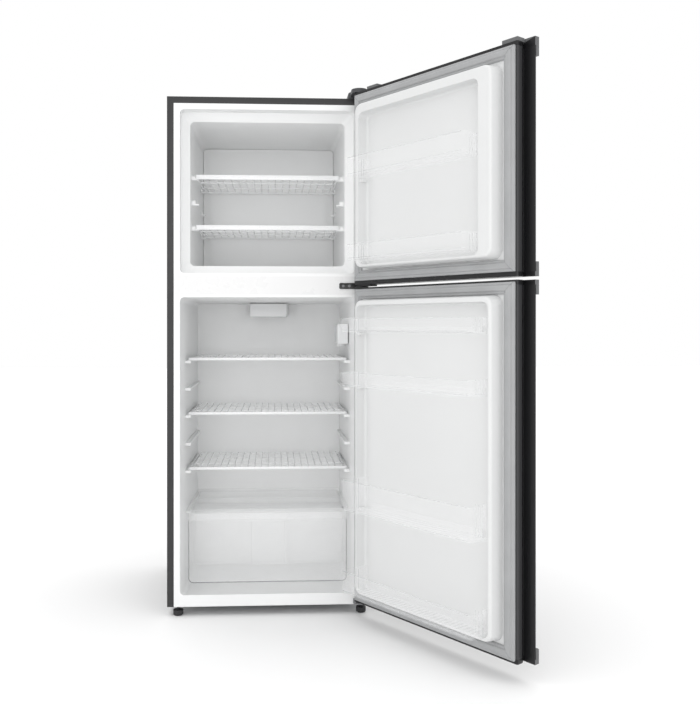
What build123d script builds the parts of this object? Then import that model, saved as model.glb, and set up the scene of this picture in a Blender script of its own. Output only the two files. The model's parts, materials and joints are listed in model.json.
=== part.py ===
from build123d import *
from math import cos, radians, sin
import os

# Top freezer refrigerator, doors hinged on the right and modelled standing open.
# Millimetres. While a piece is being made, x is centred on the cabinet, y = 0 is the
# cabinet's front face with +y running back, and z is up from the floor. The finished
# pieces are moved so that the origin is on the floor at the middle of the cabinet.

# ---------------------------------------------------------------- driving dimensions
cabinet_width = 600.0
cabinet_depth = 540.0
cabinet_top = 1555.0
base_height = 28.0
sheet = 1.2                     # steel outer case
flange_width = 20.0             # case return around the front
skin = 2.0                      # vacuum-formed plastic liners
half_width = cabinet_width / 2

mullion_bottom, mullion_top = 963.0, 1018.0
opening_half = 262.0
opening_radius = 14.0
freezer_bottom, freezer_top = 1027.0, 1518.0
freezer_mouth, freezer_step = 40.0, 58.0
freezer_half, freezer_rear_half = 237.0, 224.0
freezer_floor, freezer_ceiling = 1052.0, 1493.0
freezer_back = 465.0
fridge_bottom, fridge_top = 63.0, 955.0
fridge_mouth = 40.0
fridge_half, fridge_rear_half = 257.0, 250.0
fridge_floor, fridge_ceiling = 52.0, 951.0
fridge_back = 440.0
hump_front, hump_top = 345.0, 243.0
hump_column_half, hump_column_depth = 65.0, 8.0

machine_front, machine_top = 393.0, 205.0

freezer_shelf_heights = (1330.0, 1174.0)
freezer_shelf_half, freezer_shelf_front, freezer_shelf_back = 221.0, 88.0, 392.0
freezer_peg_heights = (1330.0, 1252.0, 1174.0)
fridge_shelf_heights = (765.0, 595.0, 423.0)
fridge_rib_heights = (765.0, 680.0, 595.0, 509.0, 423.0)
fridge_shelf_half, fridge_shelf_front, fridge_shelf_back = 247.0, 110.0, 425.0
runner_x, runner_top = 128.0, 63.2          # floor ribs that carry the crisper drawer

hinge_x, hinge_y = 286.0, -37.7
pin_radius = 4.0
pin_clearance = 0.06
door_open_angle = 125.7

door_inner, door_outer = -14.0, -62.0       # y of the door's two faces when it is shut
door_side = -298.0                          # free side of the door
skin_side = -268.0                          # where the steel front meets the side profile
handle_notch, handle_edge, handle_face = -292.0, -325.0, -47.0
cap = 12.0                                  # plastic caps at the ends of each door
gasket_half, gasket_band = 292.0, 30.0
plug_half, plug_depth, plug_radius = 255.0, 30.0, 24.0
recess_floor = -6.0

foot_radius, foot_height, foot_stud = 15.0, 17.0, 4.0
foot_y = 14.0
left_foot_x, right_foot_x = -268.0, 283.0
roller_radius, roller_width, roller_y, roller_x = 13.0, 14.0, 500.0, 255.0

pieces = {}


# ---------------------------------------------------------------- shape helpers
def block(x0, x1, y0, y1, z0, z1):
    centre = Pos((x0 + x1) / 2, (y0 + y1) / 2, (z0 + z1) / 2)
    return centre * Box(abs(x1 - x0), abs(y1 - y0), abs(z1 - z0))


def rounded_face(x0, x1, z0, z1, y, radius):
    """A rounded rectangle standing in the plane at y, facing back."""
    middle = ((x0 + x1) / 2, y, (z0 + z1) / 2)
    plane = Plane(origin=middle, x_dir=(1, 0, 0), z_dir=(0, 1, 0))
    return plane * RectangleRounded(x1 - x0, z1 - z0, radius)


def between(front, back):
    """The solid between two rounded rectangles, each (x0, x1, z0, z1, y, radius)."""
    return loft([rounded_face(*front), rounded_face(*back)])


def standing_box(x0, x1, y0, y1, z0, z1, radius):
    """A box whose four upright edges are rounded."""
    plan = Pos((x0 + x1) / 2, (y0 + y1) / 2, z0) * RectangleRounded(x1 - x0, y1 - y0, radius)
    return extrude(plan, z1 - z0)


def rod(start, end, radius):
    start, end = Vector(*start), Vector(*end)
    plane = Plane(origin=start, z_dir=end - start)
    low = (Align.CENTER, Align.CENTER, Align.MIN)
    return plane * Cylinder(radius, (end - start).length, align=low)


def rod_along_z(x, y, z0, z1, radius):
    return rod((x, y, z0), (x, y, z1), radius)


def tube(points, radii, radius):
    path = FilletPolyline(*points, radius=radii)
    start = Plane(origin=path @ 0, z_dir=path % 0)
    return sweep(start * Circle(radius), path)


def joined(solids):
    total = solids[0]
    for solid in solids[1:]:
        total = total + solid
    return total


def edges_near(solid, y, low=0.5):
    """Edges that lie wholly in the plane at y."""
    chosen = []
    for edge in solid.edges():
        box = edge.bounding_box()
        if abs(box.min.Y - y) < low and abs(box.max.Y - y) < low:
            chosen.append(edge)
    return chosen


# ---------------------------------------------------------------- cabinet
def freezer_space(grow, front):
    """The freezer's hollow, grown by a wall thickness; it starts at y = front."""
    side = opening_half + grow
    low, high = freezer_bottom - grow, freezer_top + grow
    radius = opening_radius + grow
    mouth = (-side, side, low, high, freezer_mouth + grow, radius)
    inner_side = freezer_half + grow
    inner = (-inner_side, inner_side, freezer_floor - grow, freezer_ceiling + grow,
             freezer_step + grow, radius)
    draft = freezer_half - freezer_rear_half
    rear_side = freezer_rear_half + grow
    rear = (-rear_side, rear_side, freezer_floor + draft - grow,
            freezer_ceiling - draft + grow, freezer_back + grow, radius)
    lead = between((-side, side, low, high, front, radius), mouth)
    return lead + between(mouth, inner) + between(inner, rear)


def hump(shrink):
    """The raised floor over the compressor, with its central column."""
    top = hump_top - shrink
    body = block(-half_width, half_width, hump_front + shrink, cabinet_depth, 0, top)
    front_edge = body.edges().filter_by(Axis.X).group_by(Axis.Z)[-1].sort_by(Axis.Y)[0]
    body = fillet(front_edge, 12 - shrink)
    front = hump_front - hump_column_depth + shrink
    side = hump_column_half - shrink
    return body + block(-side, side, front, hump_front + 20, 0, top)


def fridge_space(grow, front):
    side = opening_half + grow
    radius = opening_radius + grow
    draft = fridge_half - fridge_rear_half
    inner_side, rear_side = fridge_half + grow, fridge_rear_half + grow
    inner = (-inner_side, inner_side, fridge_floor - grow, fridge_ceiling + grow,
             fridge_mouth, radius)
    rear = (-rear_side, rear_side, fridge_floor + 5 - grow, fridge_ceiling - draft + grow,
            fridge_back + grow, radius)
    lead = between((-side, side, fridge_bottom - grow, fridge_top + grow, front, radius), inner)
    return lead + between(inner, rear) - hump(grow)


def add_case():
    outer = block(-half_width, half_width, 0, cabinet_depth, base_height, cabinet_top)
    inside = block(-half_width + sheet, half_width - sheet, sheet, cabinet_depth + 1,
                   base_height - 1, cabinet_top - sheet)
    window = block(-half_width + flange_width, half_width - flange_width, -1, sheet + 1,
                   base_height - 1, cabinet_top - flange_width)
    pieces["outer_case"] = outer - inside - window
    inner_half = half_width - sheet
    pieces["back_panel"] = block(-inner_half, inner_half, cabinet_depth - 1, cabinet_depth,
                                 machine_top, cabinet_top - sheet)


def add_liners():
    flange_half = half_width - flange_width
    freezer_flange = block(-flange_half, flange_half, 0, skin, mullion_top,
                           cabinet_top - flange_width)
    freezer = freezer_flange + freezer_space(skin, 0) - freezer_space(0, -1)
    for side in (-1, 1):
        for height in freezer_peg_heights:
            for y in (102, 352):
                draft = (freezer_half - freezer_rear_half) * (y - freezer_step)
                wall = freezer_half - draft / (freezer_back - freezer_step) + 1
                near, far = sorted((side * 214, side * wall))
                ledge = block(near, far, y - 7, y + 7, height - 9, height - 4.5)
                knob = rod((side * wall, y, height - 1), (side * 224, y, height - 1), 8)
                freezer = freezer + ledge + knob
    pieces["freezer_liner"] = freezer

    fridge_flange = block(-flange_half, flange_half, 0, skin, base_height, mullion_bottom)
    solid = fridge_space(skin, 0)
    fridge = fridge_flange + solid - fridge_space(0, -1)
    ribs = []
    for side in (-1, 1):
        for height in fridge_rib_heights:
            near, far = sorted((side * 239, side * 262))
            ribs.append(standing_box(near, far, 98, 418, height - 12.5, height - 4.5, 5))
        near, far = sorted((side * 241, side * 262))
        ribs.append(standing_box(near, far, 112, 425, 285, 288, 4))
        ribs.append(standing_box(side * runner_x - 5, side * runner_x + 5, 48, 334,
                                 fridge_floor - skin, runner_top, 3))
    for rib in ribs:
        fridge = fridge + (rib & solid)
    pieces["fridge_liner"] = fridge
    pieces["mullion_cover"] = block(-flange_half, flange_half, 0, 1.6, mullion_bottom, mullion_top)


def roller_bracket(x):
    """A welded fork and axle for one rear roller."""
    ears = [block(x + s * 8.5 - 1, x + s * 8.5 + 1, roller_y - 8, roller_y + 8,
                  roller_radius - 7, base_height) for s in (-1, 1)]
    top = block(x - 9.5, x + 9.5, roller_y - 12, roller_y + 12, base_height - 1, base_height)
    axle = rod((x - 11, roller_y, roller_radius), (x + 11, roller_y, roller_radius), 3)
    return top + ears[0] + ears[1] + axle


def add_base():
    inner_half = half_width - sheet
    floor_plate = block(-inner_half, inner_half, skin, machine_front, base_height, base_height + 2)
    wall = block(-inner_half, inner_half, machine_front - 2, machine_front, base_height + 2,
                 machine_top)
    roof = block(-inner_half, inner_half, machine_front, cabinet_depth - 2, machine_top - 2,
                 machine_top)
    deck = block(-inner_half, inner_half, machine_front, cabinet_depth - 2, base_height,
                 base_height + 2)
    base = floor_plate + wall + roof + deck
    for side in (-1, 1):
        near, far = sorted((side * (inner_half - 1), side * inner_half))
        base = base + block(near, far, machine_front, cabinet_depth - 2, base_height + 2,
                            machine_top - 2)
        base = base + roller_bracket(side * roller_x)
    for x in (left_foot_x, right_foot_x):
        base = base - rod_along_z(x, foot_y, base_height - 1, base_height + 3, foot_stud + 0.4)
    pieces["base_pan"] = base

    foam = block(-inner_half, inner_half, skin, cabinet_depth - 1, base_height + 2,
                 cabinet_top - sheet)
    foam = foam - freezer_space(skin, 0) - fridge_space(skin, 0)
    foam = foam - block(-inner_half, inner_half, machine_front - 2, cabinet_depth,
                        base_height, machine_top)
    for x in (left_foot_x, right_foot_x):
        foam = foam - rod_along_z(x, foot_y, base_height + 1, base_height + 34, foot_stud + 0.4)
    pieces["cabinet_foam"] = foam


def add_rear_cover_and_evaporator():
    cover = between((-225, 225, 1064, 1481, 400, 14), (-225, 225, 1064, 1481, 403, 14))
    raised = between((-207, 207, 1082, 1458, 397, 24), (-213, 213, 1076, 1464, 400, 28))
    hollow = between((-204, 204, 1085, 1455, 399, 22), (-210, 210, 1079, 1461, 403.5, 26))
    pieces["freezer_rear_cover"] = cover + raised - hollow

    fins = [block(x, x + 1, 414, 452, 1090, 1230) for x in range(-184, 185, 23)]
    rows = []
    for height in (1108, 1134, 1160, 1186, 1212):
        for y in (424, 442):
            rows.append(rod((-196, y, height), (197, y, height), 4))
    pieces["evaporator"] = joined(fins + rows)

    plate = block(-72, 72, 444, 447, 1366 - 12, 1366 + 12)
    posts = [rod((x, 403, 1366), (x, 444, 1366), 4) for x in (-66, 66)]
    motor = rod((0, 447, 1366), (0, 462, 1366), 26) + rod((0, 430, 1366), (0, 447, 1366), 2.5)
    pieces["evaporator_fan_motor"] = plate + posts[0] + posts[1] + motor
    hub = rod((0, 412, 1366), (0, 432, 1366), 15) - rod((0, 429, 1366), (0, 433, 1366), 2.56)
    blade = Pos(0, 422, 33) * Rot(0, 0, 32) * Box(30, 2, 42)
    fan = hub
    for turn in range(5):
        fan = fan + Pos(0, 0, 1366) * Rot(0, turn * 72, 0) * blade
    pieces["evaporator_fan_blade"] = fan


def add_machine_space():
    x, y, foot_top = 120, 466, 44
    shell = Pos(x, y, 47) * Cylinder(60, 132, align=(Align.CENTER, Align.CENTER, Align.MIN))
    shell = fillet(shell.edges().group_by(Axis.Z)[-1], 34)
    shell = fillet(shell.edges().group_by(Axis.Z)[0], 14)
    seam = rod_along_z(x, y, 106, 112, 62)
    plate = standing_box(x - 100, x + 100, y - 52, y + 52, foot_top, 47.5, 14)
    pieces["compressor"] = shell + seam + plate
    grommets = [rod_along_z(x + i * 84, y + j * 36, base_height + 2, foot_top, 11)
                for i in (-1, 1) for j in (-1, 1)]
    pieces["compressor_grommets"] = Compound(children=grommets)
    pieces["terminal_cover"] = standing_box(x - 96, x - 62.5, y - 24, y + 24, 62, 118, 6)

    tray = standing_box(x - 80, x + 80, y - 60, y + 56, 182, 198, 12)
    pieces["drip_tray"] = tray - standing_box(x - 78, x + 78, y - 58, y + 54, 184, 199, 10)

    discharge = tube([(60, y, 150), (-60, y, 150), (-60, 500, 150),
                      (-60, 500, machine_top - 2)], [12, 12], 3)
    drier = rod((-60, 500, 164), (-60, 500, 192), 9)
    suction = tube([(61.5, y - 14, 132), (-110, y - 14, 132),
                    (-110, y - 14, machine_top - 2)], 14, 4)
    pieces["refrigerant_tubes"] = Compound(children=[discharge + drier, suction])

    cover = block(-282, 282, cabinet_depth - 2, cabinet_depth, base_height + 2, machine_top)
    for row in range(6):
        for column in range(-4, 5):
            z = 60 + row * 22
            cover = cover - block(column * 56 - 21, column * 56 + 21, cabinet_depth - 3,
                                  cabinet_depth + 1, z, z + 7)
    gland_hole = rod((-200, cabinet_depth - 3, 44), (-200, cabinet_depth + 1, 44), 7)
    pieces["machine_cover"] = cover - gland_hole
    gland = rod((-200, cabinet_depth - 8, 44), (-200, cabinet_depth + 3, 44), 7) \
        + rod((-200, cabinet_depth, 44), (-200, cabinet_depth + 3, 44), 10)
    pieces["supply_cord_gland"] = gland - rod((-200, 500, 44), (-200, 560, 44), 3.6)


def add_control_pieces():
    x0, x1, y0, y1, z0, z1 = 219.0, 252.6, 120.0, 255.0, 812.0, 874.0
    body = block(x0, x1, y0, y1, z0, z1)
    body = fillet(body.edges().group_by(Axis.X)[0], 6)
    hollow = block(x0 + 2.5, x1 + 1, y0 + 2.5, y1 - 2.5, z0 + 2.5, z1 - 2.5)
    window = block(x0 - 1, x0 + 3, y0 + 78, y1 - 10, z0 + 12, z1 - 12)
    spindle = rod_along_z(236, 165, z0 - 1, z0 + 4, 3.06)
    pieces["thermostat_housing"] = body - hollow - window - spindle
    pieces["lamp_cover"] = block(x0 + 0.5, x0 + 2.5, y0 + 78, y1 - 10, z0 + 12, z1 - 12)
    bulb = Pos(237, 212, 843) * Sphere(11) + rod((237, 212, 843), (237, 240, 843), 7)
    pieces["lamp_bulb"] = bulb
    dial = Pos(236, 165, z0 - 8.5) * Cylinder(14, 8, align=(Align.CENTER, Align.CENTER, Align.MIN))
    for turn in range(12):
        angle = radians(turn * 30)
        dial = dial - rod_along_z(236 + 14.6 * cos(angle), 165 + 14.6 * sin(angle),
                                  z0 - 9, z0, 1.6)
    pieces["thermostat_knob"] = dial + rod_along_z(236, 165, z0 - 0.5, z0 + 9, 3)

    duct = block(-64, 64, 300, fridge_back - 0.5, 898, 943)
    duct = fillet(duct.edges().filter_by(Axis.Z).group_by(Axis.Y)[0], 8)
    duct = fillet(duct.edges().group_by(Axis.Z)[0].group_by(Axis.Y)[0], 5)
    duct = duct - block(-61, 61, 303, fridge_back, 901, 944)
    for step in range(-4, 5):
        duct = duct - block(step * 11 - 3, step * 11 + 3, 320, 420, 897, 902)
    pieces["air_duct_cover"] = duct


# ---------------------------------------------------------------- shelves and crisper
def wire_shelf(half, front, back, height, bar, wires):
    """Wires run front to back over cross rods; a deep front bar holds their ends."""
    rods = [block(-half, half, front, front + 4, height - bar, height + bar)]
    low = height - 1.7
    for x in (-half + 2.5, half - 2.5):
        rods.append(rod((x, front + 2, low), (x, back, low), 2.5))
    for share in (0.33, 0.66):
        y = front + (back - front) * share
        rods.append(rod((-half + 2.5, y, low), (half - 2.5, y, low), 2))
    rods.append(block(-half + 0.6, half - 0.6, back - 4, back, low - 2.5, low + 2.5))
    step = 2 * (half - 12) / (wires - 1)
    for index in range(wires):
        x = -half + 12 + step * index
        rods.append(rod((x, front + 2, height + 1.5), (x, back - 0.5, height + 1.5), 1.6))
    return joined(rods)


def add_shelves():
    for name, height in zip(("upper", "lower"), freezer_shelf_heights):
        pieces["freezer_shelf_" + name] = wire_shelf(
            freezer_shelf_half, freezer_shelf_front, freezer_shelf_back, height, 7, 19)
    for name, height in zip(("top", "middle", "bottom"), fridge_shelf_heights):
        pieces["fridge_shelf_" + name] = wire_shelf(
            fridge_shelf_half, fridge_shelf_front, fridge_shelf_back, height, 4, 23)


def add_crisper():
    half = fridge_shelf_half
    frame = block(-half, half, 108, 428, 288, 298)
    frame = frame - block(-half + 12, half - 12, 124, 416, 287, 299)
    frame = frame - block(-half + 6, half - 6, 118, 422, 293, 299)
    pieces["crisper_cover_frame"] = frame
    pieces["crisper_cover_glass"] = block(-half + 6.3, half - 6.3, 118.3, 421.7, 293, 297)

    low, top = runner_top + 1.3, 284.0
    outer = between((-248, 248, low, top + 30, 110, 16), (-244, 244, low + 3, top + 30, 334, 16))
    inner = between((-245.5, 245.5, low + 2.5, top + 30, 112.5, 14),
                    (-241.5, 241.5, low + 5.5, top + 30, 331.5, 14))
    keep = block(-300, 300, 100, 340, 0, top)
    drawer = (outer - inner) & keep
    rim = block(-247, 247, 104, 110.2, top - 22, top)
    rim = fillet(rim.edges().filter_by(Axis.X).group_by(Axis.Y)[0], 2.5)
    drawer = drawer + (rim - block(-245, 245, 106.5, 108, top - 25, top - 3))
    for x in (-runner_x, runner_x):
        drawer = drawer + block(x - 4, x + 4, 130, 320, low - 1.0, low + 3)
    pieces["crisper_drawer"] = drawer


# ---------------------------------------------------------------- hinges, feet, rollers
def add_hinges():
    base = block(246, 297, 12, 72, cabinet_top, cabinet_top + 3)
    riser = block(266, 297, 9, 12, cabinet_top, cabinet_top + 10)
    leaf_low = 1561.5
    leaf = block(272, 297, -46, 12, leaf_low, leaf_low + 3)
    pin = rod_along_z(hinge_x, hinge_y, 1547, leaf_low + 1, pin_radius)
    pieces["top_hinge"] = base + riser + leaf + pin

    hood = standing_box(244, 299, 2, 78, cabinet_top, 1577, 12)
    hood = fillet(hood.edges().group_by(Axis.Z)[-1], 6)
    nose = rod_along_z(hinge_x - 12, hinge_y + 8, 1560.8, 1573, 24) \
        + block(250, 298, hinge_y + 8, 6, 1560.8, 1573)
    nose = nose & block(240, 299.5, -80, 12, 1550, 1600)
    hollow = block(245.5, 297.5, 8, 76, cabinet_top - 1, 1572) \
        + block(266, 298.5, -50, 10, 1550, 1567)
    pieces["top_hinge_cover"] = hood + nose - hollow

    flange = block(216, 284, -3, 0, 980, 998)
    flange = fillet(flange.edges().filter_by(Axis.Y).group_by(Axis.X)[0], 4)
    leaf = standing_box(262, 300, -54, 0, 982.3, 984.8, 8)
    pins = rod_along_z(hinge_x, hinge_y, 968, 1002, pin_radius)
    pieces["middle_hinge"] = flange + leaf + pins

    flange = block(258, 299, -2.5, 0, 29, 47)
    flange = fillet(flange.edges().filter_by(Axis.Y).group_by(Axis.X)[0], 4)
    leaf = standing_box(262, 300, -54, 0, 43.5, 47, 8)
    pins = rod_along_z(hinge_x, hinge_y, 44, 64, pin_radius)
    pieces["bottom_hinge"] = flange + leaf + pins

    screws = []
    for x, z in ((228, 989), (246, 989), (267, 35.5), (280, 35.5)):
        front = -3.0 if z > 900 else -2.5
        head = rod((x, front - 2.2, z), (x, front, z), 4.2)
        head = head - block(x - 0.6, x + 0.6, front - 3, front - 1.2, z - 3, z + 3)
        head = head - block(x - 3, x + 3, front - 3, front - 1.2, z - 0.6, z + 0.6)
        tip = 14 if z > 900 else 7
        screws.append(head + rod((x, front, z), (x, tip, z), 2.2))
    for x, y in ((256, 25), (256, 60), (286, 60)):
        head = rod_along_z(x, y, cabinet_top + 3, cabinet_top + 5.5, 4.2)
        screws.append(head + rod_along_z(x, y, cabinet_top - 14, cabinet_top + 3, 2.2))
    pieces["hinge_screws"] = Compound(children=screws)


def add_feet_and_rollers():
    low = (Align.CENTER, Align.CENTER, Align.MIN)
    for name, x in (("left", left_foot_x), ("right", right_foot_x)):
        pad = Pos(x, foot_y, 0) * Cylinder(foot_radius, foot_height, align=low)
        pad = fillet(pad.edges().group_by(Axis.Z)[0], 5)
        pad = fillet(pad.edges().group_by(Axis.Z)[-1], 1.5)
        for turn in range(18):
            angle = radians(turn * 20)
            pad = pad - rod_along_z(x + 15.4 * cos(angle), foot_y + 15.4 * sin(angle),
                                    5.5, 14.5, 1.1)
        pieces["front_foot_" + name] = pad + rod_along_z(x, foot_y, foot_height - 1, 50, foot_stud)

    for name, side in (("left", -1), ("right", 1)):
        x = side * roller_x
        wheel = rod((x - roller_width / 2, roller_y, roller_radius),
                    (x + roller_width / 2, roller_y, roller_radius), roller_radius)
        wheel = fillet(wheel.edges(), 1.5)
        bore = rod((x - 10, roller_y, roller_radius), (x + 10, roller_y, roller_radius), 3.06)
        pieces["rear_roller_" + name] = wheel - bore


# ---------------------------------------------------------------- doors
def side_profile(z0, z1):
    """The plastic moulding down the free side: a rounded edge, a finger groove and a lip."""
    outline = Polyline(
        (skin_side, door_inner), (door_side + 3, door_inner), (door_side, door_inner - 3),
        (door_side, door_inner - 18), (door_side + 3, door_inner - 26),
        (handle_notch + 3, handle_face + 3), (handle_notch + 2, handle_face),
        (handle_edge + 1, handle_face), (handle_edge, handle_face - 1.5),
        (handle_edge + 1, handle_face - 4), (handle_notch + 4, door_outer + 1.5),
        (handle_notch + 12, door_outer), (skin_side, door_outer), (skin_side, door_inner))
    return extrude(Pos(0, 0, z0) * make_face(outline), z1 - z0)


def cap_plan(z0, z1):
    """The cap's outline: the whole section of the door, with a square-ended lip."""
    outline = Polyline(
        (half_width, door_inner), (door_side + 3, door_inner), (door_side, door_inner - 3),
        (door_side, door_inner - 18), (door_side + 3, door_inner - 26),
        (handle_notch + 3, handle_face + 3), (handle_notch + 2, handle_face),
        (handle_edge, handle_face), (handle_edge, door_outer),
        (half_width - 10, door_outer), (half_width - 2.5, door_outer + 3),
        (half_width, door_outer + 10), (half_width, door_inner))
    return extrude(Pos(0, 0, z0) * make_face(outline), z1 - z0)


def lip_block(z0, z1):
    """The thick square end of the handle's lip."""
    return block(handle_edge, handle_notch, door_outer, handle_face - 4, z0, z1) \
        - side_profile(z0 - 1, z1 + 1)


def plug(shrink, recess, z0, z1):
    """The raised ring of the door's inner lining, shrunk by a wall thickness."""
    side = plug_half - shrink
    top = plug_depth - shrink
    base = door_inner + 2 - shrink
    radius = plug_radius - shrink
    body = between((-side, side, z0 + shrink, z1 - shrink, base, radius),
                   (-side + 4, side - 4, z0 + 4 + shrink, z1 - 4 - shrink, top, radius))
    body = fillet(edges_near(body, top), 7 - shrink / 2)
    left, right, low, high = recess
    floor_y = recess_floor - shrink
    hollow = between((left + 1 - shrink, right - 1 + shrink, low + 1 - shrink,
                      high - 1 + shrink, floor_y, 17 + shrink),
                     (left - shrink, right + shrink, low - shrink, high + shrink,
                      plug_depth + 1, 18 + shrink))
    hollow = fillet(edges_near(hollow, floor_y), 8)
    return body - hollow


def rack(x0, x1, z0, z1, depth):
    """A clear door rack: floor, front, ends and a low back, with end pockets."""
    back = recess_floor + 8.0
    wall = 2.2
    outer = standing_box(x0, x1, back, depth, z0, z1, 9)
    outer = fillet(outer.edges().group_by(Axis.Z)[0], 7)
    inner = standing_box(x0 + wall, x1 - wall, back + wall, depth - wall, z0 + 3, z1 + 1, 7)
    inner = fillet(inner.edges().group_by(Axis.Z)[0], 5)
    tray = outer - inner
    tray = tray - block(x0 + 24, x1 - 24, back - 1, back + wall + 1, z0 + 18, z1 + 1)
    for side, end in ((1, x0), (-1, x1)):
        pocket = block(end + side * 13, end + side * 15, back + 1, 32, z0 + 2, z1)
        front = block(end + side * 1, end + side * 15, 30, 32, z0 + 2, z1)
        tray = tray + pocket + front
    return tray


def add_door(name, z0, z1, gasket_z, plug_z, recess, racks, stop_side):
    closed = {}
    inner_z0, inner_z1 = z0 + cap, z1 - cap

    shell = block(skin_side, half_width, door_outer, door_inner, inner_z0, inner_z1)
    outer_edge = shell.edges().filter_by(Axis.Z).group_by(Axis.Y)[0].sort_by(Axis.X)[-1]
    shell = fillet(outer_edge, 10)
    core = block(skin_side - 1, half_width - 1, door_outer + 1, door_inner + 1,
                 inner_z0 - 1, inner_z1 + 1)
    core_edge = core.edges().filter_by(Axis.Z).group_by(Axis.Y)[0].sort_by(Axis.X)[-1]
    core = fillet(core_edge, 9)
    hinge_return = block(gasket_half - 2, half_width, door_inner - 1, door_inner,
                         inner_z0, inner_z1)
    closed["door_panel"] = (shell - core) + hinge_return

    closed["door_handle"] = side_profile(inner_z0, inner_z1)

    ring = plug(0, recess, *plug_z)
    core_ring = plug(skin, recess, *plug_z)
    flange = block(-gasket_half + 0.5, gasket_half - 0.5, door_inner, door_inner + 2,
                   gasket_z[0] + 0.5, gasket_z[1] - 0.5)
    liner = flange + ring - core_ring
    for left, right, low, high, depth in racks:
        for side, end in ((-1, recess[0]), (1, recess[1])):
            boss = block(end - side * 9, end + side * 3, 4, 22, low - 8.3, low - 0.3)
            liner = liner + (boss - core_ring)
    closed["door_liner"] = liner

    foam = block(skin_side, half_width - 1.2, door_outer + 1, door_inner, inner_z0, inner_z1)
    foam_edge = foam.edges().filter_by(Axis.Z).group_by(Axis.Y)[0].sort_by(Axis.X)[-1]
    foam = fillet(foam_edge, 11)
    pin_hole = rod_along_z(hinge_x, hinge_y, z0 - 1, z0 + 30, 9) \
        + rod_along_z(hinge_x, hinge_y, z1 - 30, z1 + 1, 9)
    closed["door_foam"] = foam + core_ring - pin_hole - hinge_return

    low, high = gasket_z
    closed_gasket = between((-gasket_half, gasket_half, low, high, door_inner + 2, 3),
                            (-gasket_half + 2, gasket_half - 2, low + 2, high - 2, -5, 3))
    bulb = between((-gasket_half + 7, gasket_half - 7, low + 7, high - 7, -5, 3),
                   (-gasket_half + 9, gasket_half - 9, low + 9, high - 9, -1, 3))
    inside = block(-gasket_half + gasket_band, gasket_half - gasket_band, -20, 1,
                   low + gasket_band, high - gasket_band)
    closed["door_gasket"] = closed_gasket + bulb - inside

    caps = {"door_cap_top": (inner_z1, z1), "door_cap_bottom": (z0, inner_z0)}
    bore_radius = pin_radius + pin_clearance
    for cap_name, (low, high) in caps.items():
        closed[cap_name] = cap_plan(low, high)
    if stop_side == "top":
        top = closed["door_cap_top"]
        top = top + block(door_side + 1, -250, -42, -15, z1, z1 + 10)
        top = top + block(203, 246, -42, -15, z1, z1 + 8)
        top = top + block(handle_edge, handle_notch + 14, door_outer, handle_face, z1, z1 + 10)
        closed["door_cap_top"] = top
        bottom = closed["door_cap_bottom"]
        stop = standing_box(244, 299, -56, -20, z0 - 4, z0 + 1, 5)
        closed["door_cap_bottom"] = bottom + stop
    lip = 36.0
    closed["door_cap_top"] = closed["door_cap_top"] + lip_block(z1 - lip, z1 - cap + 0.5)
    closed["door_cap_bottom"] = closed["door_cap_bottom"] + lip_block(z0 + cap - 0.5, z0 + lip)
    bores = rod_along_z(hinge_x, hinge_y, z0 - 6, z0 + 28, bore_radius) \
        + rod_along_z(hinge_x, hinge_y, z1 - 28, z1 + 14, bore_radius)
    for cap_name in caps:
        sleeve_low, sleeve_high = (z0 + 1, z0 + 26) if cap_name.endswith("bottom") \
            else (z1 - 26, z1 - 1)
        sleeve = rod_along_z(hinge_x, hinge_y, sleeve_low, sleeve_high, 8.7)
        closed[cap_name] = closed[cap_name] + sleeve - bores

    for index, (left, right, low, high, depth) in enumerate(racks):
        closed["door_rack_%d" % (index + 1)] = rack(left, right, low, high, depth)

    swing = Pos(hinge_x, hinge_y, 0) * Rot(0, 0, door_open_angle) * Pos(-hinge_x, -hinge_y, 0)
    for piece, shape in closed.items():
        pieces[name + "_" + piece] = swing * shape


def add_doors():
    add_door("freezer", 990.0, 1560.0, (1001.5, 1550.0), (1034.0, 1512.0),
             (-212.0, 234.0, 1044.0, 1482.0),
             ((-210.0, 232.0, 1292.0, 1346.0, 80.0), (-210.0, 232.0, 1053.5, 1100.5, 80.0)),
             "top")
    add_door("fridge", 50.0, 981.8, (57.6, 977.0), (92.0, 946.0),
             (-243.0, 243.0, 104.0, 929.0),
             ((-241.0, 241.0, 850.0, 891.0, 92.0), (-241.0, 241.0, 696.0, 739.0, 92.0),
              (-241.0, 241.0, 345.0, 434.0, 92.0), (-241.0, 241.0, 112.8, 176.0, 92.0)),
             "none")


# ---------------------------------------------------------------- build and write
def build():
    add_case()
    add_liners()
    add_base()
    add_rear_cover_and_evaporator()
    add_machine_space()
    add_control_pieces()
    add_shelves()
    add_crisper()
    add_hinges()
    add_feet_and_rollers()
    add_doors()


build()
os.makedirs("parts", exist_ok=True)
to_centre = Pos(0, -cabinet_depth / 2, 0)
for node, shape in pieces.items():
    export_step(to_centre * shape, "parts/" + node + ".step")
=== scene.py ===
import json
from math import cos, radians, sin, tan, tau

import bmesh
import bpy
from mathutils import Matrix, Vector

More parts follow.
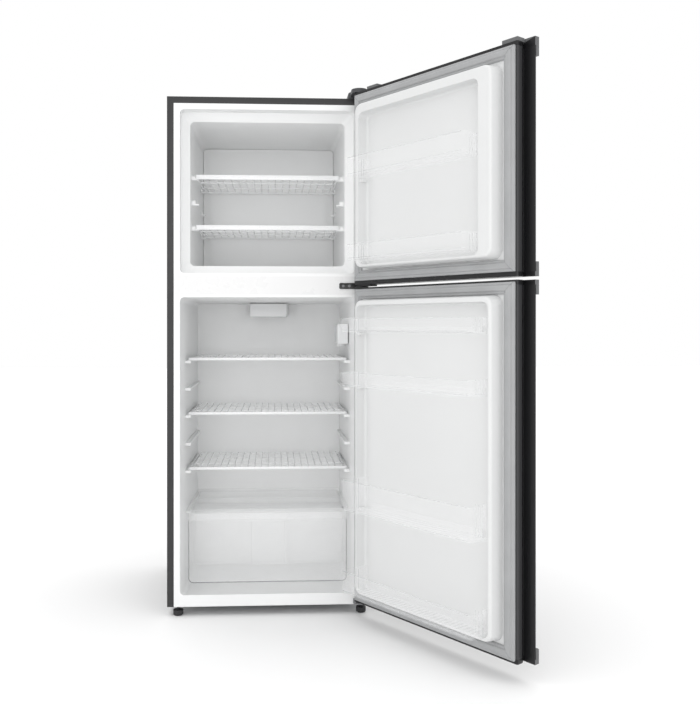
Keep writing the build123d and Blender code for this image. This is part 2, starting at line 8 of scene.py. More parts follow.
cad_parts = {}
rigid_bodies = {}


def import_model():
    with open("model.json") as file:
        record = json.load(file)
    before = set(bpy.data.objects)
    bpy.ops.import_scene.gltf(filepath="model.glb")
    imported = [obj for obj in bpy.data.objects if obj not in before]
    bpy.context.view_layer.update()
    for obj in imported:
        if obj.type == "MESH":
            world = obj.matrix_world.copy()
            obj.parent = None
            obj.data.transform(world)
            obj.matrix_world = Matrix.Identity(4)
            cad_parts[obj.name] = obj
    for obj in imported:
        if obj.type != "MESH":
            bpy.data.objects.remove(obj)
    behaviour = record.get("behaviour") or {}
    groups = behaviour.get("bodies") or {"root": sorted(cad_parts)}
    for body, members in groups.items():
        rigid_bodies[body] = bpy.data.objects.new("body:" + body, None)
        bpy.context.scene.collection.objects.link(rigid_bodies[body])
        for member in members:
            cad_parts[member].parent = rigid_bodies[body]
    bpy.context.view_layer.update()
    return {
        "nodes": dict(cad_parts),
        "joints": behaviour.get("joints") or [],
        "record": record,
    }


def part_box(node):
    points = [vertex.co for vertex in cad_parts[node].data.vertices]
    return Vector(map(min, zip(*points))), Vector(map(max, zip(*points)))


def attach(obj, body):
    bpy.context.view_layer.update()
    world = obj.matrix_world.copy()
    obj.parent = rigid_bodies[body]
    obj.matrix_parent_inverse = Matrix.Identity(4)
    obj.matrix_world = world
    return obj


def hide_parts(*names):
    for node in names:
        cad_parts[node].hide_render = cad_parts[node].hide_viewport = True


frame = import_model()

# Metres, in the row frame: z up from the floor, +y towards the cabinet's back, the hinges at +x.
# Door pieces are drawn as if the doors were shut and then swung to where they stand at rest.

mm = 0.001
nodes = frame["nodes"]
joints = {joint["name"]: joint for joint in frame["joints"]}
slots = {entry["node"]: entry["material_slot"] for entry in frame["record"]["subparts"]}

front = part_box("outer_case")[0][1]     # the cabinet's front face
hinge_x, hinge_y = joints["fridge_door_hinge"]["pos_m"][:2]
open_angle = radians(-joints["fridge_door_hinge"]["range_deg"][0])
door_inner = front - 14 * mm            # the door's rear face when shut

swing = (Matrix.Translation((hinge_x, hinge_y, 0)) @ Matrix.Rotation(open_angle, 4, "Z")
         @ Matrix.Translation((-hinge_x, -hinge_y, 0)))
unswing = swing.inverted()


# ---------------------------------------------------------------- materials
def new_material(name):
    material = bpy.data.materials.new(name)
    material.use_nodes = True
    tree = material.node_tree
    return material, tree, tree.nodes["Principled BSDF"]


def noise(tree, scale, detail=3.0, stretch=(1, 1, 1)):
    """A noise texture in the object's own metres; scale is in cycles per metre."""
    coordinates = tree.nodes.new("ShaderNodeTexCoord")
    mapping = tree.nodes.new("ShaderNodeMapping")
    mapping.inputs["Scale"].default_value = stretch
    texture = tree.nodes.new("ShaderNodeTexNoise")
    texture.inputs["Scale"].default_value = scale
    texture.inputs["Detail"].default_value = detail
    tree.links.new(coordinates.outputs["Object"], mapping.inputs["Vector"])
    tree.links.new(mapping.outputs["Vector"], texture.inputs["Vector"])
    return texture.outputs["Fac"]


def spread(tree, value, low, high):
    """Maps noise, which stays near a half, to the range from low to high."""
    noise_low, noise_high = 0.3, 0.7
    ranged = tree.nodes.new("ShaderNodeMapRange")
    ranged.inputs["From Min"].default_value = noise_low
    ranged.inputs["From Max"].default_value = noise_high
    ranged.inputs["To Min"].default_value = low
    ranged.inputs["To Max"].default_value = high
    tree.links.new(value, ranged.inputs["Value"])
    return ranged.outputs["Result"]


def tint(tree, shader, value, dark, light):
    """Base colour that runs from dark to light as value goes from 0 to 1."""
    mix = tree.nodes.new("ShaderNodeMix")
    mix.data_type = "RGBA"
    mix.inputs["A"].default_value = (*dark, 1)
    mix.inputs["B"].default_value = (*light, 1)
    tree.links.new(value, mix.inputs["Factor"])
    tree.links.new(mix.outputs["Result"], shader.inputs["Base Color"])


def bump(tree, shader, value, height, previous=None):
    """Relief of the given height in metres, on top of a previous one if there is any."""
    node = tree.nodes.new("ShaderNodeBump")
    node.inputs["Distance"].default_value = height
    node.inputs["Strength"].default_value = 1.0
    tree.links.new(value, node.inputs["Height"])
    if previous:
        tree.links.new(previous, node.inputs["Normal"])
    tree.links.new(node.outputs["Normal"], shader.inputs["Normal"])
    return node.outputs["Normal"]


def surface(name, colour, roughness, variation=0.06, mottle=9.0, grain=900.0, grain_height=0.02,
            wave=0.0, stretch=(1, 1, 1), metallic=0.0, specular=0.5, sheen=0.0, subsurface=0.0):
    """An opaque finish: colour that drifts, uneven gloss, fine grain and, if asked, slow waviness.

    mottle and grain are in cycles per metre, grain_height and wave in mm.
    """
    glossiest, dullest = 0.85, 1.18         # shares of the roughness
    wave_scale = 14.0
    material, tree, shader = new_material(name)
    slow = noise(tree, mottle, stretch=stretch)
    dark = [channel * (1 - variation) for channel in colour]
    light = [min(1.0, channel * (1 + variation)) for channel in colour]
    tint(tree, shader, spread(tree, slow, 0, 1), dark, light)
    medium = noise(tree, mottle * 6, stretch=stretch)
    gloss = spread(tree, medium, roughness * glossiest, min(1.0, roughness * dullest))
    tree.links.new(gloss, shader.inputs["Roughness"])
    normal = None
    if wave:
        normal = bump(tree, shader, noise(tree, wave_scale, 1.0), wave * mm)
    bump(tree, shader, noise(tree, grain, 2.0, stretch), grain_height * mm, normal)
    shader.inputs["Metallic"].default_value = metallic
    shader.inputs["Specular IOR Level"].default_value = specular
    shader.inputs["Sheen Weight"].default_value = sheen
    if subsurface:
        shader.inputs["Subsurface Weight"].default_value = subsurface
        shader.inputs["Subsurface Radius"].default_value = (0.006, 0.005, 0.004)
    return material


def clear(name, colour, roughness, haze, rim):
    """See-through moulding: faint at the middle, milky and darker where it is seen edge on.

    haze and rim are its opacity seen square on and edge on.
    """
    acrylic_index = 1.49
    rim_shade = 0.92
    material, tree, shader = new_material(name)
    facing = tree.nodes.new("ShaderNodeLayerWeight")
    facing.inputs["Blend"].default_value = 0.35
    edge = tree.nodes.new("ShaderNodeMapRange")
    edge.inputs["From Min"].default_value = 0.25
    edge.inputs["From Max"].default_value = 0.95
    edge.inputs["To Min"].default_value = haze
    edge.inputs["To Max"].default_value = rim
    tree.links.new(facing.outputs["Facing"], edge.inputs["Value"])
    cloud = spread(tree, noise(tree, 24.0), 0.92, 1.08)
    alpha = tree.nodes.new("ShaderNodeMath")
    alpha.operation = "MULTIPLY"
    tree.links.new(edge.outputs["Result"], alpha.inputs[0])
    tree.links.new(cloud, alpha.inputs[1])
    tree.links.new(alpha.outputs["Value"], shader.inputs["Alpha"])
    dark = [channel * rim_shade for channel in colour]
    tint(tree, shader, edge.outputs["Result"], colour, dark)
    tree.links.new(spread(tree, noise(tree, 60.0), roughness * 0.8, roughness * 1.3),
                   shader.inputs["Roughness"])
    bump(tree, shader, noise(tree, 35.0, 2.0), 0.02 * mm)
    shader.inputs["IOR"].default_value = acrylic_index
    return material


finishes = {
    "case_black": surface("case_enamel", (0.038, 0.038, 0.039), 0.40, variation=0.035, mottle=5.0,
                          grain=700.0, grain_height=0.012, wave=0.05, specular=0.35),
    "back_metal": surface("galvanised_sheet", (0.30, 0.31, 0.32), 0.42, variation=0.045,
                          mottle=22.0, grain=300.0, grain_height=0.03, wave=0.10, metallic=0.7),
    "foam": surface("rigid_foam", (0.72, 0.62, 0.40), 0.85, variation=0.12, mottle=30.0,
                    grain=420.0, grain_height=0.4),
    "liner_white": surface("formed_liner", (0.88, 0.885, 0.885), 0.36, variation=0.012, mottle=3.0,
                           grain=650.0, grain_height=0.02, wave=0.10, specular=0.40),
    "mullion_white": surface("white_enamel", (0.80, 0.80, 0.80), 0.28, variation=0.01, mottle=4.0,
                             grain=700.0, grain_height=0.01, wave=0.05),
    "housing_white": surface("white_moulding", (0.78, 0.785, 0.79), 0.38, variation=0.015,
                             mottle=12.0, grain=900.0, grain_height=0.03),
    "gasket_grey": surface("soft_vinyl", (0.37, 0.375, 0.38), 0.55, variation=0.05, mottle=14.0,
                           grain=500.0, grain_height=0.03, specular=0.35, sheen=0.15),
    "clear_plastic": clear("clear_moulding", (0.93, 0.935, 0.94), roughness=0.10, haze=0.05,
                           rim=0.20),
    "clear_glass": clear("clear_sheet", (0.92, 0.93, 0.93), roughness=0.05, haze=0.05, rim=0.26),
    "frosted_plastic": surface("frosted_diffuser", (0.76, 0.78, 0.80), 0.5, variation=0.03,
                               mottle=20.0, grain=1200.0, grain_height=0.05, subsurface=0.2),
    "white_wire": surface("coated_wire", (0.86, 0.865, 0.87), 0.30, variation=0.02, mottle=30.0,
                          grain=600.0, grain_height=0.05),
    "fin_aluminium": surface("fin_stock", (0.72, 0.73, 0.74), 0.35, variation=0.10, mottle=40.0,
                             grain=800.0, grain_height=0.02, stretch=(1, 1, 6), metallic=1.0),
    "fan_plastic": surface("grey_moulding", (0.50, 0.51, 0.52), 0.48, variation=0.05, mottle=20.0,
                           grain=900.0, grain_height=0.03),
    "compressor_black": surface("compressor_enamel", (0.014, 0.014, 0.014), 0.30, variation=0.25,
                                mottle=16.0, grain=500.0, grain_height=0.06, wave=0.15),
    "black_rubber": surface("moulded_rubber", (0.022, 0.022, 0.022), 0.75, variation=0.15,
                            mottle=40.0, grain=1100.0, grain_height=0.08),
    "copper_tube": surface("drawn_copper", (0.62, 0.31, 0.18), 0.30, variation=0.20, mottle=35.0,
                           grain=700.0, grain_height=0.02, stretch=(1, 1, 4), metallic=1.0),
    "black_plastic": surface("black_moulding", (0.020, 0.020, 0.022), 0.50, variation=0.12,
                             mottle=24.0, grain=1300.0, grain_height=0.05),
    "hinge_steel": surface("plated_pressing", (0.24, 0.24, 0.25), 0.38, variation=0.12,
                           mottle=45.0, grain=900.0, grain_height=0.03, metallic=0.85),
    "hinge_black": surface("hinge_enamel", (0.012, 0.012, 0.012), 0.35, variation=0.15,
                           mottle=30.0, grain=700.0, grain_height=0.03),
    "screw_steel": surface("plated_screw", (0.13, 0.13, 0.135), 0.32, variation=0.12, mottle=90.0,
                           grain=1500.0, grain_height=0.02, metallic=1.0),
    "hinge_cover_grey": surface("grained_cover", (0.050, 0.052, 0.056), 0.48, variation=0.08,
                                mottle=18.0, grain=1400.0, grain_height=0.06),
    "profile_grey": surface("extruded_profile", (0.032, 0.032, 0.034), 0.34, variation=0.06,
                            mottle=16.0, grain=900.0, grain_height=0.015, stretch=(1, 1, 0.05),
                            specular=0.45),
    "cap_grey": surface("cap_moulding", (0.115, 0.117, 0.120), 0.45, variation=0.06, mottle=20.0,
                        grain=1300.0, grain_height=0.05),
}
# Painted shade: the door liners are the cabinet liner's white sheet, coloured darker to take off the
# extra light they catch from the lamps.
door_liner_painted_shade = surface("door_liner_sheet", (0.71, 0.715, 0.715), 0.36, variation=0.012, mottle=3.0,
                     grain=650.0, grain_height=0.02)
# Painted shade on the side profile's finger groove and front half; the door caps also take this black
# along the door.
groove_shade_and_cap_black = surface("groove_lining", (0.010, 0.010, 0.011), 0.30, variation=0.10, mottle=10.0,
                      grain=900.0, grain_height=0.01, stretch=(1, 1, 0.05), specular=0.35)
seam_grey = surface("weld_seam", (0.24, 0.245, 0.25), 0.6, variation=0.08, mottle=30.0)
ink_grey = surface("printed_grey", (0.20, 0.20, 0.21), 0.5, variation=0.05, mottle=60.0)
rib_milk = clear("moulded_rib", (0.92, 0.925, 0.93), roughness=0.18, haze=0.14, rim=0.30)
edge_grey = clear("moulded_edge", (0.62, 0.63, 0.64), roughness=0.12, haze=0.34, rim=0.55)
edge_dark = clear("drawer_edge", (0.22, 0.22, 0.225), roughness=0.12, haze=0.80, rim=0.90)
# Painted light: the drawer's copy of the clear moulding is whiter and hazier than the racks', so its
# front shows brighter.
drawer_clear_painted_light = clear("drawer_moulding", (0.95, 0.955, 0.96), roughness=0.12, haze=0.13, rim=0.26)
see_through = (finishes["clear_plastic"], finishes["clear_glass"], rib_milk, edge_grey, edge_dark,
               drawer_clear_painted_light)


# ---------------------------------------------------------------- shading
def shade_smooth(mesh):
    for face in mesh.polygons:
        face.use_smooth = True


def weld(piece):
    """Joins the CAD mesh's doubled points, so that soft shading runs on from face to face."""
    join = piece.modifiers.new("weld", "WELD")
    join.merge_threshold = 0.01 * mm


def crisp(piece, angle=32):
    """Keeps edges that turn by more than the angle, in degrees, hard."""
    split = piece.modifiers.new("split", "EDGE_SPLIT")
    split.split_angle = radians(angle)


# bevel widths in mm
bevelled = {"outer_case": 0.5, "middle_hinge": 0.4, "top_hinge": 0.4, "bottom_hinge": 0.4,
            "air_duct_cover": 0.5, "crisper_cover_frame": 0.7, "base_pan": 0.3,
            "terminal_cover": 0.8, "freezer_shelf_upper": 0.5, "freezer_shelf_lower": 0.5,
            "fridge_shelf_top": 0.5, "fridge_shelf_middle": 0.5, "fridge_shelf_bottom": 0.5}
# the door liners take the liner white with painted shade, the drawer the clear moulding with painted
# light
own_finish = {"freezer_door_liner": door_liner_painted_shade, "fridge_door_liner": door_liner_painted_shade,
              "crisper_drawer": drawer_clear_painted_light}


def dress(node):
    """Gives a CAD node its finish, soft shading on curves and small bevels on hard edges."""
    shape = nodes[node]
    shape.data.materials.clear()
    shape.data.materials.append(own_finish.get(node, finishes[slots[node]]))
    shade_smooth(shape.data)
    weld(shape)
    if node in bevelled:
        edge = shape.modifiers.new("edge", "BEVEL")
        edge.width = bevelled[node] * mm
        edge.segments = 2
        edge.limit_method = "ANGLE"
        edge.angle_limit = radians(40)
    crisp(shape)


for node in nodes:
    dress(node)


# ---------------------------------------------------------------- building pieces
def add_piece(name, mesh, body, slot, materials=None):
    """A drawn piece that rides a body; its look is the slot's finish unless materials are given."""
    piece = bpy.data.objects.new(name, mesh)
    bpy.context.collection.objects.link(piece)
    for material in materials or [finishes[slot]]:
        mesh.materials.append(material)
    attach(piece, body)
    return piece


def mesh_from(name, points, faces, place=None):
    """A smooth-shaded mesh with its faces turned outwards, moved by place if that is given."""
    mesh = bpy.data.meshes.new(name)
    mesh.from_pydata([place @ Vector(p) if place else p for p in points], [], faces)
    shell = bmesh.new()
    shell.from_mesh(mesh)
    bmesh.ops.recalc_face_normals(shell, faces=shell.faces)
    shell.to_mesh(mesh)
    shell.free()
    shade_smooth(mesh)
    return mesh


def rounded(outline, steps=5):
    """A closed outline of (x, y, radius) corners, each turned into a smooth curve."""
    points = []
    count = len(outline)
    longest = 0.49          # the share of a straight side that one corner may take up
    for index, (x, y, radius) in enumerate(outline):
        here = Vector((x, y))
        back = (Vector(outline[index - 1][:2]) - here)
        ahead = (Vector(outline[(index + 1) % count][:2]) - here)
        if radius <= 0:
            points.append(here)
            continue
        turn = back.angle(ahead)
        reach = min(radius / abs(tan(turn / 2)), longest * back.length, longest * ahead.length)
        start = here + back.normalized() * reach
        end = here + ahead.normalized() * reach
        for step in range(steps + 1):
            t = step / steps
            points.append(start * (1 - t) ** 2 + here * 2 * t * (1 - t) + end * t ** 2)
    return points


def prism(name, outline, z0, z1, place=None):
    """An upright solid on an outline of Vectors in x and y."""
    count = len(outline)
    points = [(p.x, p.y, z) for z in (z0, z1) for p in outline]
    faces = [(i, (i + 1) % count, count + (i + 1) % count, count + i) for i in range(count)]
    faces += [tuple(range(count)), tuple(range(count, 2 * count))]
    return mesh_from(name, points, faces, place=place)


def boxes(name, spans, bevel, place=None):
    """One mesh of several bevelled bars, each (x0, x1, y0, y1, z0, z1)."""
    shell = bmesh.new()
    for x0, x1, y0, y1, z0, z1 in spans:
        size = Matrix.Diagonal((x1 - x0, y1 - y0, z1 - z0, 1))
        centre = Matrix.Translation(((x0 + x1) / 2, (y0 + y1) / 2, (z0 + z1) / 2))
        bmesh.ops.create_cube(shell, size=1, matrix=centre @ size)
    bmesh.ops.bevel(shell, geom=list(shell.edges), offset=bevel, segments=2, profile=0.5,
                    affect="EDGES")
    if place:
        bmesh.ops.transform(shell, matrix=place, verts=shell.verts)
    mesh = bpy.data.meshes.new(name)
    shell.to_mesh(mesh)
    shell.free()
    shade_smooth(mesh)
    return mesh


# ---------------------------------------------------------------- door gaskets
gasket_half = 292 * mm          # half the gasket's outer width
liner_flange = 2 * mm           # what the gasket sits on
gasket_section = (       # distance in from the outer edge, height over the liner's flange, in mm
    (0.0, 0.0), (0.2, 4.6), (1.0, 6.0), (2.4, 6.8), (4.2, 7.2), (5.6, 7.0), (6.4, 6.6),
    (7.2, 8.0), (8.4, 9.8), (10.0, 10.8), (12.0, 10.95), (14.0, 10.7), (15.2, 10.4),
    (16.4, 10.7), (18.4, 10.95), (20.2, 10.6), (21.8, 9.4), (22.8, 7.8), (23.4, 6.6),
    (24.2, 7.0), (25.6, 7.2), (27.4, 6.8), (29.0, 5.8), (29.8, 4.2), (30.0, 0.0))


def gasket_span(door):
    """The lowest and highest z of a door's gasket."""
    low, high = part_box(door + "_door_gasket")
    return low[2], high[2]


def add_gasket(door):
    """A bellows section run round the door, mitred at the corners."""
    low, high = gasket_span(door)
    base = door_inner + liner_flange
    points = []
    for inset, height in gasket_section:
        inset, height = inset * mm, height * mm
        side = gasket_half - inset
        for x, z in ((-side, low + inset), (side, low + inset), (side, high - inset),
                     (-side, high - inset)):
            points.append((x, base + height, z))
    rows = len(gasket_section)
    faces = []
    for row in range(rows):
        after = (row + 1) % rows
        for corner in range(4):
            beside = (corner + 1) % 4
            faces.append((row * 4 + corner, row * 4 + beside, after * 4 + beside, after * 4 + corner))
    mesh = mesh_from(door + "_gasket", points, faces, place=swing)
    piece = add_piece(door + "_gasket_bellows", mesh, door + "_door", "gasket_grey")
    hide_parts(door + "_door_gasket")
    crisp(piece, 50)


def add_gasket_seams(door):
    """The thin weld lines across the gasket's four mitres."""
    low, high = gasket_span(door)
    base = door_inner + liner_flange
    half, lift, thickness = 0.35 * mm, 0.12 * mm, 0.2 * mm
    points, faces = [], []
    for side_x, edge_z, way in ((-1, low, 1), (1, low, 1), (1, high, -1), (-1, high, -1)):
        first = len(points)
        for inset, height in gasket_section:
            centre_x = side_x * (gasket_half - inset * mm)
            centre_z = edge_z + way * inset * mm
            for share in (-half, half):
                points.append((centre_x + share * way, base + height * mm + lift,
                               centre_z + share * side_x))
        for row in range(len(gasket_section) - 1):
            start = first + row * 2
            faces.append((start, start + 1, start + 3, start + 2))
    mesh = mesh_from(door + "_gasket_seams", points, faces, place=swing)
    piece = add_piece(door + "_gasket_weld_seams", mesh, door + "_door", "gasket_grey",
                      [seam_grey])
    body = piece.modifiers.new("body", "SOLIDIFY")
    body.thickness = thickness


# ---------------------------------------------------------------- side profile with the grip
def add_side_profile(door):
    """The door's side moulding with its finger groove and lip; its front half, round the groove, is
    painted darker as shade.
    """
    low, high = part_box(door + "_door_handle")
    corners = (         # x, y from the cabinet's front, corner radius, in mm
        (-268, -14.0, 0), (-298, -14.0, 4.0), (-298, -32.0, 5.0), (-291.5, -44.5, 3.0),
        (-290.5, -47.0, 1.0), (-324.6, -47.0, 1.2), (-324.6, -50.8, 1.4), (-288, -60.8, 5.0),
        (-279, -62.0, 3.0), (-268, -62.0, 0))
    outline = rounded([(x * mm, front + y * mm, r * mm) for x, y, r in corners])
    mesh = prism(door + "_profile", outline, low[2], high[2], place=swing)
    piece = add_piece(door + "_side_profile", mesh, door + "_door", "profile_grey",
                      [finishes["profile_grey"], groove_shade_and_cap_black])
    # faces towards the front from here get the painted shade
    shaded_front_start = front - 33 * mm
    for face in mesh.polygons:
        if (unswing @ face.center).y < shaded_front_start:
            face.material_index = 1
    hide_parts(door + "_door_handle")
    crisp(piece, 35)


# ---------------------------------------------------------------- racks
def rack_body(node):
    """The moving body that a rack is on."""
    return node.replace("_door", "")


def shut_span(node):
    """A door piece's lowest and highest corners, measured as if its door were shut."""
    points = [unswing @ vertex.co for vertex in nodes[node].data.vertices]
    return (Vector([min(p[i] for p in points) for i in range(3)]),
            Vector([max(p[i] for p in points) for i in range(3)]))


def add_rack_ribs(node):
    """Moulded ribs across a rack's floor."""
    low, high = shut_span(node)
    end_gap, pitch, half = 30 * mm, 15 * mm, 0.6 * mm
    run = high.x - low.x - 2 * end_gap
    count = int(run / pitch)
    spans = []
    for index in range(count + 1):
        x = low.x + end_gap + run * index / count
        spans.append((x - half, x + half, low.y + 12 * mm, high.y - 8 * mm,
                      low.z + 2.6 * mm, low.z + 4.2 * mm))
    mesh = boxes(node + "_ribs", spans, 0.3 * mm, swing)
    add_piece(node + "_floor_ribs", mesh, rack_body(node), "clear_plastic", [rib_milk])


def add_rack_edges(node):
    """A rolled bead and a foot line along a rack's front wall, and the edges of its end pockets."""
    low, high = shut_span(node)
    side_gap, half = 9 * mm, 0.5 * mm
    edge_places = (1.4 * mm, 14.0 * mm, 24.0 * mm)      # in from each end
    bead = (low.x + side_gap, high.x - side_gap, high.y - 1.9 * mm, high.y - 0.3 * mm,
            high.z - 1.8 * mm, high.z - 0.4 * mm)
    foot = (low.x + side_gap, high.x - side_gap, high.y - 2.0 * mm, high.y - 1.0 * mm,
            low.z + 6.5 * mm, low.z + 7.7 * mm)
    spans = [bead, foot]
    for end, inwards in ((low.x, 1), (high.x, -1)):
        for reach in edge_places:
            x = end + inwards * reach
            spans.append((x - half, x + half, high.y - 49 * mm, high.y - 48 * mm,
                          low.z + 5 * mm, high.z - 1 * mm))
    mesh = boxes(node + "_lines", spans, 0.25 * mm, swing)
    add_piece(node + "_moulded_edges", mesh, rack_body(node), "clear_plastic", [edge_grey])


# ---------------------------------------------------------------- crisper drawer
drawer_low, drawer_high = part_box("crisper_drawer")
drawer_lip = drawer_high[2] - 24 * mm       # where the front wall stops and its grip starts


def add_crisper_beads():
    """A grip bead along the drawer's front, and two upright lines moulded behind it."""
    end_gap, line_x, line_half = 22 * mm, 52 * mm, 0.8 * mm
    spans = [(drawer_low[0] + end_gap, drawer_high[0] - end_gap, drawer_low[1] + 0.4 * mm,
              drawer_low[1] + 2.0 * mm, drawer_lip, drawer_high[2] - 21 * mm)]
    for x in (-line_x, line_x):
        spans.append((x - line_half, x + line_half, drawer_low[1] + 6.0 * mm,
                      drawer_low[1] + 7.4 * mm, drawer_low[2] + 56 * mm,
                      drawer_high[2] - 30 * mm))
    mesh = boxes("crisper_beads", spans, 0.5 * mm)
    add_piece("crisper_grip_bead", mesh, "crisper", "clear_plastic", [rib_milk])


def add_crisper_outline():
    """The drawer's thick moulded outline: down each side and round the lower corners."""
    half, corner, steps = 0.9 * mm, 14 * mm, 8
    side, bottom = drawer_high[0] - 1.2 * mm, drawer_low[2] + 2.4 * mm
    y0, y1 = drawer_low[1] + 6.2 * mm, drawer_low[1] + 9.0 * mm
    path = [Vector((-side, drawer_lip))]
    for start, centre_x in ((180, -side + corner), (270, side - corner)):
        for step in range(steps + 1):
            angle = radians(start + 90 * step / steps)
            path.append(Vector((centre_x + corner * cos(angle), bottom + corner + corner * sin(angle))))
    path.append(Vector((side, drawer_lip)))
    points, faces = [], []
    for index, here in enumerate(path):
        before, after = path[max(0, index - 1)], path[min(len(path) - 1, index + 1)]
        along = (after - before).normalized()
        across = Vector((-along.y, along.x)) * half
        for y, offset in ((y0, -across), (y0, across), (y1, across), (y1, -across)):
            points.append((here.x + offset.x, y, here.y + offset.y))
    for index in range(len(path) - 1):
        for edge in range(4):
            beside = (edge + 1) % 4
            faces.append((index * 4 + edge, index * 4 + beside,
                          index * 4 + 4 + beside, index * 4 + 4 + edge))
    last = (len(path) - 1) * 4
    faces += [(0, 1, 2, 3), (last, last + 1, last + 2, last + 3)]
    mesh = mesh_from("crisper_outline", points, faces)
    add_piece("crisper_front_outline", mesh, "crisper", "clear_plastic", [edge_dark])


# ---------------------------------------------------------------- door end caps
def add_door_cap(node):
    """The cap's own moulding again: black along the door, grey on its raised block and grip end."""
    mesh = nodes[node].data.copy()
    mesh.materials.clear()
    piece = add_piece(node + "_moulding", mesh, node.split("_")[0] + "_door", "cap_grey",
                      [groove_shade_and_cap_black, finishes["cap_grey"]])
    grip_edge = min((unswing @ vertex.co).x for vertex in mesh.vertices)
    block_start = grip_edge + 26 * mm
    block_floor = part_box(node)[1][2] - 9.5 * mm
    for face in mesh.polygons:
        centre = unswing @ face.center
        grip_end = centre.x < grip_edge + 0.5 * mm
        on_block = (node == "freezer_door_cap_top" and centre.z > block_floor
                    and centre.x > block_start)
        face.material_index = 1 if grip_end or on_block else 0
    shade_smooth(mesh)
    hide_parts(node)
    weld(piece)
    crisp(piece)


# ---------------------------------------------------------------- screws and small trim
def screw_heads(name, places, radius, height, axis):
    """Pan heads with a cross recess, all in one mesh; axis points out of the surface."""
    shell = bmesh.new()
    recess = 0.30           # the cross recess's width, as a share of the radius
    # each ring's share of the height and of the radius, from the rim to the recess's floor
    rings = ((0.0, 1.0), (0.35, 0.98), (0.7, 0.80), (0.95, 0.45), (1.0, recess), (0.55, 0.24),
             (0.5, 0.0))
    turn = Vector((0, 0, 1)).rotation_difference(Vector(axis)).to_matrix().to_4x4()
    sides = 24
    for place in places:
        previous = None
        for share, width in rings:
            ring = []
            for step in range(sides):
                angle = tau * step / sides
                pinch = 1.0
                if width <= recess:
                    pinch = 0.55 + 0.75 * abs(cos(2 * angle)) ** 3
                reach = radius * width * pinch
                point = Vector((reach * cos(angle), reach * sin(angle), share * height))
                ring.append(shell.verts.new(Vector(place) + turn @ point))
            if previous:
                for step in range(sides):
                    after = (step + 1) % sides
                    shell.faces.new((previous[step], previous[after], ring[after], ring[step]))
            previous = ring
    bmesh.ops.remove_doubles(shell, verts=shell.verts, dist=0.00002)
    bmesh.ops.recalc_face_normals(shell, faces=shell.faces)
    mesh = bpy.data.meshes.new(name)
    shell.to_mesh(mesh)
    shell.free()
    shade_smooth(mesh)
    return mesh


def add_back_screws():
    """Two rows of screws along the machine cover's upper and lower edges."""
    low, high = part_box("machine_cover")
    inset, head_radius, head_height, seat = 10 * mm, 4.0 * mm, 1.9 * mm, 2.0 * mm
    places = []
    for x in (low[0] + inset, low[0] / 2, 0.0, high[0] / 2, high[0] - inset):
        for z in (low[2] + inset, high[2] - inset):
            places.append((x, high[1] - seat, z))
    mesh = screw_heads("cover_screws", places, head_radius, head_height, (0, 1, 0))
    add_piece("machine_cover_screws", mesh, "cabinet", "screw_steel")


def add_dial_pointer():
    """A raised pointer on the lower face of the thermostat's knob."""
    low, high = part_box("thermostat_knob")
    centre_x, centre_y = (low[0] + high[0]) / 2, (low[1] + high[1]) / 2
    radius = (high[0] - low[0]) / 2
    half = 0.7 * mm
    spans = [(centre_x - half, centre_x + half, centre_y - radius * 0.85,
              centre_y - radius * 0.2, low[2] - 0.5 * mm, low[2] + 0.4 * mm)]
    mesh = boxes("dial_pointer", spans, 0.2 * mm)
    add_piece("thermostat_pointer", mesh, "thermostat_dial", "housing_white", [ink_grey])


for door in ("freezer", "fridge"):
    add_gasket(door)
    add_gasket_seams(door)
    add_side_profile(door)
    for end in ("top", "bottom"):
        add_door_cap(door + "_door_cap_" + end)
for node in nodes:
    if "_door_rack_" in node:
        add_rack_ribs(node)
        add_rack_edges(node)
add_crisper_beads()
add_crisper_outline()
add_back_screws()
add_dial_pointer()


# ---------------------------------------------------------------- studio
def add_floor():
    half = 14.0
    mesh = bpy.data.meshes.new("floor")
    mesh.from_pydata([(-half, -half, 0), (half, -half, 0), (half, half, 0), (-half, half, 0)],
                     [], [(0, 1, 2, 3)])
    floor = bpy.data.objects.new("studio_floor", mesh)
    bpy.context.collection.objects.link(floor)
    mesh.materials.append(surface("pale_floor", (0.93, 0.93, 0.93), 0.7, variation=0.004,
                                  mottle=1.0, grain=200.0, grain_height=0.0, specular=0.1))


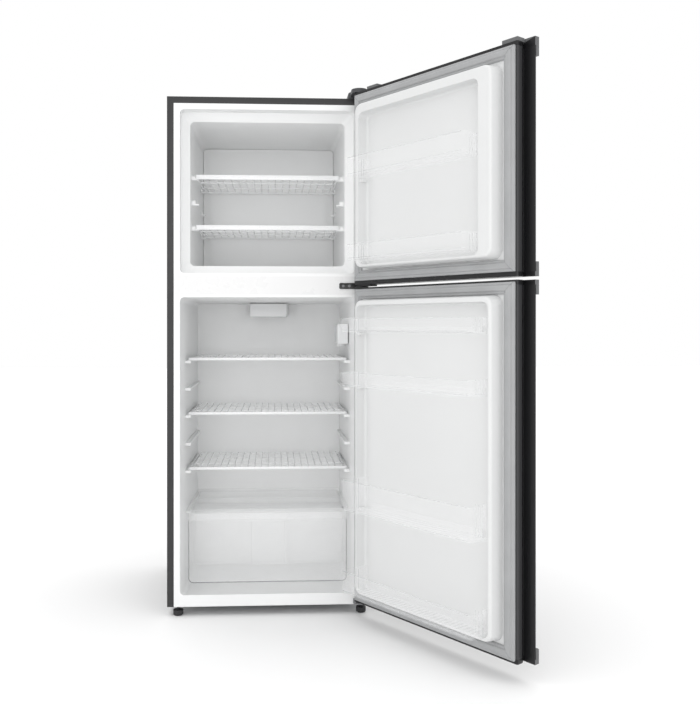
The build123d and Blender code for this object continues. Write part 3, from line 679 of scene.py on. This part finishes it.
def add_light(name, place, target, size, watts):
    """A square soft light, aimed from place at target."""
    light = bpy.data.lights.new(name, "AREA")
    light.shape = "SQUARE"
    light.size = size
    light.energy = watts
    lamp = bpy.data.objects.new(name, light)
    lamp.location = place
    aim = Vector(target) - Vector(place)
    lamp.rotation_euler = aim.to_track_quat("-Z", "Y").to_euler()
    bpy.context.collection.objects.link(lamp)


def spare_neighbours():
    """Thin clear mouldings pass nearly all light, so they shade nothing near them."""
    for shape in bpy.data.objects:
        if shape.type == "MESH" and any(m in see_through for m in shape.data.materials):
            shape.visible_shadow = False
            shape.visible_diffuse = False


def add_overhead():
    """Soft light straight down."""
    light = bpy.data.lights.new("overhead", "SUN")
    light.energy = 0.7
    light.angle = radians(60)
    lamp = bpy.data.objects.new("overhead", light)
    lamp.location = (0, 0, 4)
    bpy.context.collection.objects.link(lamp)


def add_world():
    """An even white surround, shown with plain colours."""
    world = bpy.data.worlds.new("studio")
    world.use_nodes = True
    background = world.node_tree.nodes["Background"]
    background.inputs["Color"].default_value = (1, 1, 1, 1)
    background.inputs["Strength"].default_value = 1.0
    bpy.context.scene.world = world
    bpy.context.scene.view_settings.view_transform = "Standard"


def add_camera():
    """The photograph's own view: where it was taken from, its focal length and its small shift."""
    picture_width, picture_height = 700, 704
    focal_pixels = 836.07
    centre_x, centre_y = 317.93, 325.42
    lens = bpy.data.cameras.new("camera")
    lens.sensor_width = 36.0
    lens.lens = focal_pixels * lens.sensor_width / picture_height
    lens.shift_x = (picture_width / 2 - centre_x) / picture_height
    lens.shift_y = (centre_y - picture_height / 2) / picture_height
    lens.clip_end = 100.0
    camera = bpy.data.objects.new("camera", lens)
    camera.location = (0.02454, -2.78759, 0.87325)
    camera.rotation_euler = (radians(90 - 0.07), 0, radians(-2.89))
    bpy.context.collection.objects.link(camera)
    bpy.context.scene.camera = camera


add_floor()
add_world()
spare_neighbours()
add_overhead()
add_light("key", (-0.3, -4.0, 1.3), (0.0, 0.0, 0.8), 2.0, 18)
add_light("fill", (2.4, -3.0, 1.4), (0.2, -0.2, 0.8), 2.4, 2)
add_camera()
